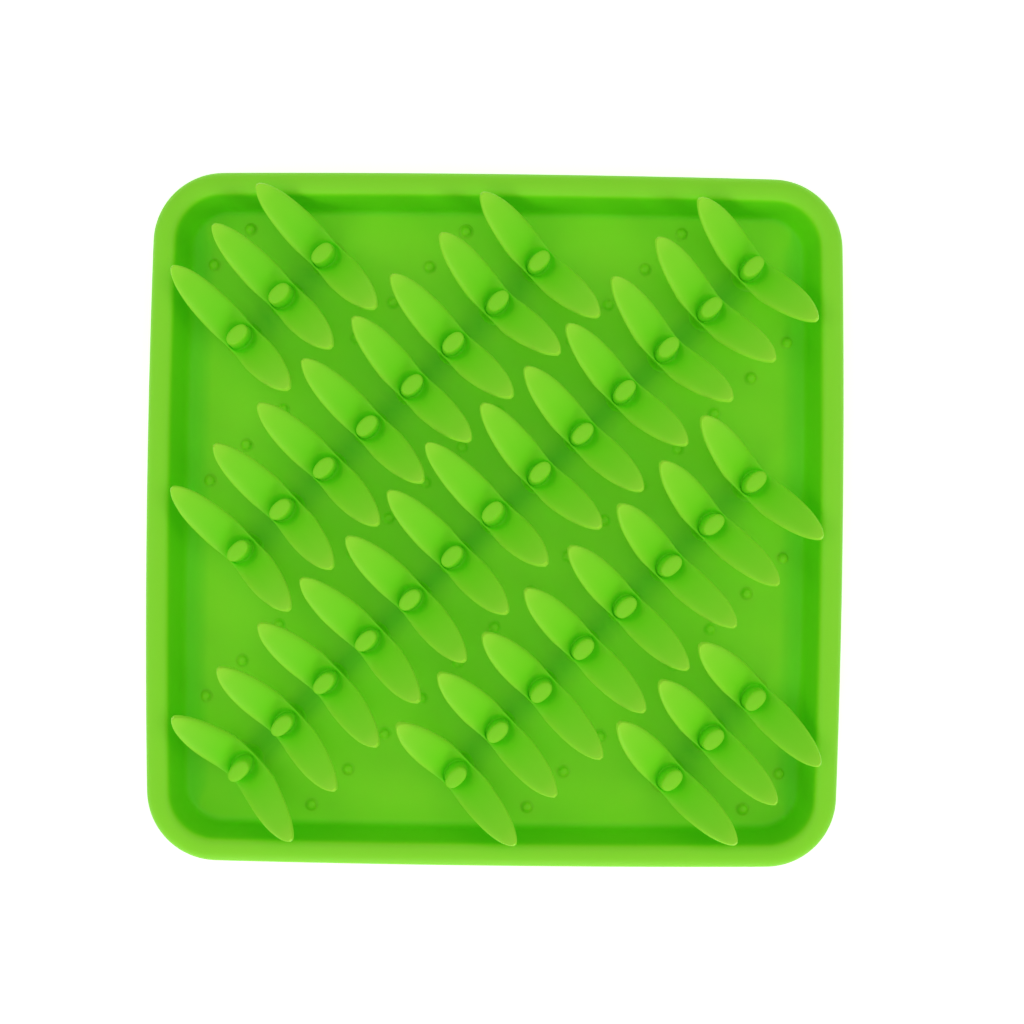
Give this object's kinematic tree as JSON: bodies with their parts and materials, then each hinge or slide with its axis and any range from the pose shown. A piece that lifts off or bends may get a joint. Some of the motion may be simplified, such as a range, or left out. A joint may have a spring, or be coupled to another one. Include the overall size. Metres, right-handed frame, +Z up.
{
  "type": "silicone feeding mat",
  "caption": "Square one-piece silicone tray for slow feeding, with a rounded rim, small floor nubs and diagonal rows of tufts, each an oval peg between two rising leaves.",
  "frame": {"origin": "under the middle of the tray, on the surface it stands on", "axes": "+Z up, +X to the right side and +Y to the far side of the mat as the picture shows it; the rows of tufts run halfway between +X and +Y"},
  "size_m": [0.1996, 0.1984, 0.0245],
  "materials": {
    "tray_silicone": "semi-matte lime-green moulded silicone",
    "tuft_silicone": "semi-matte lime-green moulded silicone, paler along thin edges"
  },
  "bodies": {
    "root": {"tray": "tray_silicone", "tuft_1_01": "tuft_silicone", "tuft_1_02": "tuft_silicone", "tuft_1_03": "tuft_silicone", "tuft_2_01": "tuft_silicone", "tuft_2_02": "tuft_silicone", "tuft_2_03": "tuft_silicone", "tuft_2_04": "tuft_silicone", "tuft_2_05": "tuft_silicone", "tuft_2_06": "tuft_silicone", "tuft_2_07": "tuft_silicone", "tuft_2_08": "tuft_silicone", "tuft_3_01": "tuft_silicone", "tuft_3_02": "tuft_silicone", "tuft_3_03": "tuft_silicone", "tuft_3_04": "tuft_silicone", "tuft_3_05": "tuft_silicone", "tuft_3_06": "tuft_silicone", "tuft_3_07": "tuft_silicone", "tuft_3_08": "tuft_silicone", "tuft_3_09": "tuft_silicone", "tuft_3_10": "tuft_silicone", "tuft_3_11": "tuft_silicone", "tuft_3_12": "tuft_silicone", "tuft_3_13": "tuft_silicone", "tuft_4_01": "tuft_silicone", "tuft_4_02": "tuft_silicone", "tuft_4_03": "tuft_silicone", "tuft_4_04": "tuft_silicone", "tuft_4_05": "tuft_silicone", "tuft_4_06": "tuft_silicone", "tuft_4_07": "tuft_silicone", "tuft_4_08": "tuft_silicone", "tuft_5_01": "tuft_silicone", "tuft_5_02": "tuft_silicone", "tuft_5_03": "tuft_silicone"}
  },
  "joints": []
}
